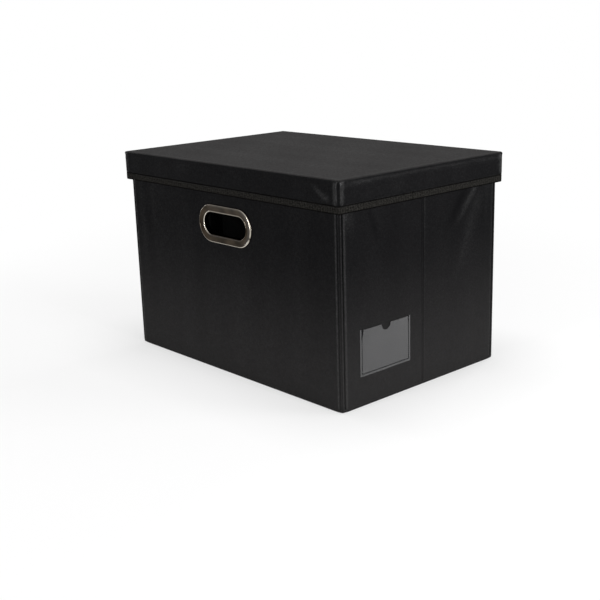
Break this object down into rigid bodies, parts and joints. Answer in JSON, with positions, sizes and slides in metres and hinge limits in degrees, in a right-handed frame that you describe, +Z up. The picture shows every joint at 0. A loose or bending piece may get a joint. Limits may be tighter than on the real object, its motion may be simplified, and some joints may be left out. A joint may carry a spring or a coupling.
{
  "type": "portable file box",
  "caption": "Collapsible leatherette file box with folding sides, oval metal grommet handles, a lift-off lid with a bound skirt, a loose floor panel and a clear label pocket.",
  "frame": {"origin": "on the floor, under the middle of the box", "axes": "+X along the handle walls towards the side with the label pocket, +Y from the front handle wall to the back one, +Z up"},
  "size_m": [0.4082, 0.2832, 0.267],
  "materials": {
    "leatherette": "black PU leatherette, fine pebble grain, satin",
    "greyboard": "raw greyboard",
    "nonwoven_lining": "black spun non-woven polypropylene",
    "handle_metal": "polished dark nickel plate",
    "clear_vinyl": "clear PVC sheet",
    "woven_binding": "woven binding tape, black-brown"
  },
  "bodies": {
    "front_wall": {"front_wall_cover": "leatherette", "front_wall_board": "greyboard", "front_wall_lining": "nonwoven_lining", "front_handle_rim": "handle_metal", "front_handle_back_ring": "handle_metal", "floor_cloth": "leatherette", "bottom_board": "greyboard", "bottom_board_wrap": "nonwoven_lining"},
    "right_front_leaf": {"right_front_leaf_cover": "leatherette", "right_front_leaf_board": "greyboard", "right_front_leaf_lining": "nonwoven_lining", "label_pocket": "clear_vinyl"},
    "right_rear_leaf": {"right_rear_leaf_cover": "leatherette", "right_rear_leaf_board": "greyboard", "right_rear_leaf_lining": "nonwoven_lining"},
    "back_wall": {"back_wall_cover": "leatherette", "back_wall_board": "greyboard", "back_wall_lining": "nonwoven_lining", "back_handle_rim": "handle_metal", "back_handle_back_ring": "handle_metal"},
    "left_front_leaf": {"left_front_leaf_cover": "leatherette", "left_front_leaf_board": "greyboard", "left_front_leaf_lining": "nonwoven_lining"},
    "left_rear_leaf": {"left_rear_leaf_cover": "leatherette", "left_rear_leaf_board": "greyboard", "left_rear_leaf_lining": "nonwoven_lining"},
    "lid": {"lid_cover": "leatherette", "lid_top_board": "greyboard", "lid_skirt_board_front": "greyboard", "lid_skirt_board_back": "greyboard", "lid_skirt_board_left": "greyboard", "lid_skirt_board_right": "greyboard", "lid_lining": "nonwoven_lining", "lid_binding": "woven_binding"}
  },
  "joints": [
    {"name": "box_fold", "type": "hinge", "parent": "front_wall", "child": "right_front_leaf", "pos_m": [0.1945, -0.1317, 0.1335], "axis": [0, 0, -1], "range_deg": [-88, 0]},
    {"name": "right_side_crease", "type": "hinge", "parent": "right_front_leaf", "child": "right_rear_leaf", "pos_m": [0.1988, 0, 0.1335], "axis": [0, 0, 1], "range_deg": [-176, 0]},
    {"name": "back_wall_hinge", "type": "hinge", "parent": "right_rear_leaf", "child": "back_wall", "pos_m": [0.1945, 0.1317, 0.1335], "axis": [0, 0, -1], "range_deg": [-88, 0]},
    {"name": "left_side_hinge", "type": "hinge", "parent": "front_wall", "child": "left_front_leaf", "pos_m": [-0.1945, -0.1317, 0.1335], "axis": [0, 0, 1], "range_deg": [-88, 0]},
    {"name": "left_side_crease", "type": "hinge", "parent": "left_front_leaf", "child": "left_rear_leaf", "pos_m": [-0.1988, 0, 0.1335], "axis": [0, 0, -1], "range_deg": [-176, 0]},
    {"name": "lid_lift", "type": "slide", "parent": "front_wall", "child": "lid", "axis": [0, 0, 1], "range_m": [0, 0.15]}
  ],
  "couplings": [
    {"joint": "right_side_crease", "follows": "box_fold", "ratio": 2},
    {"joint": "back_wall_hinge", "follows": "box_fold", "ratio": 1},
    {"joint": "left_side_hinge", "follows": "box_fold", "ratio": 1},
    {"joint": "left_side_crease", "follows": "box_fold", "ratio": 2}
  ]
}
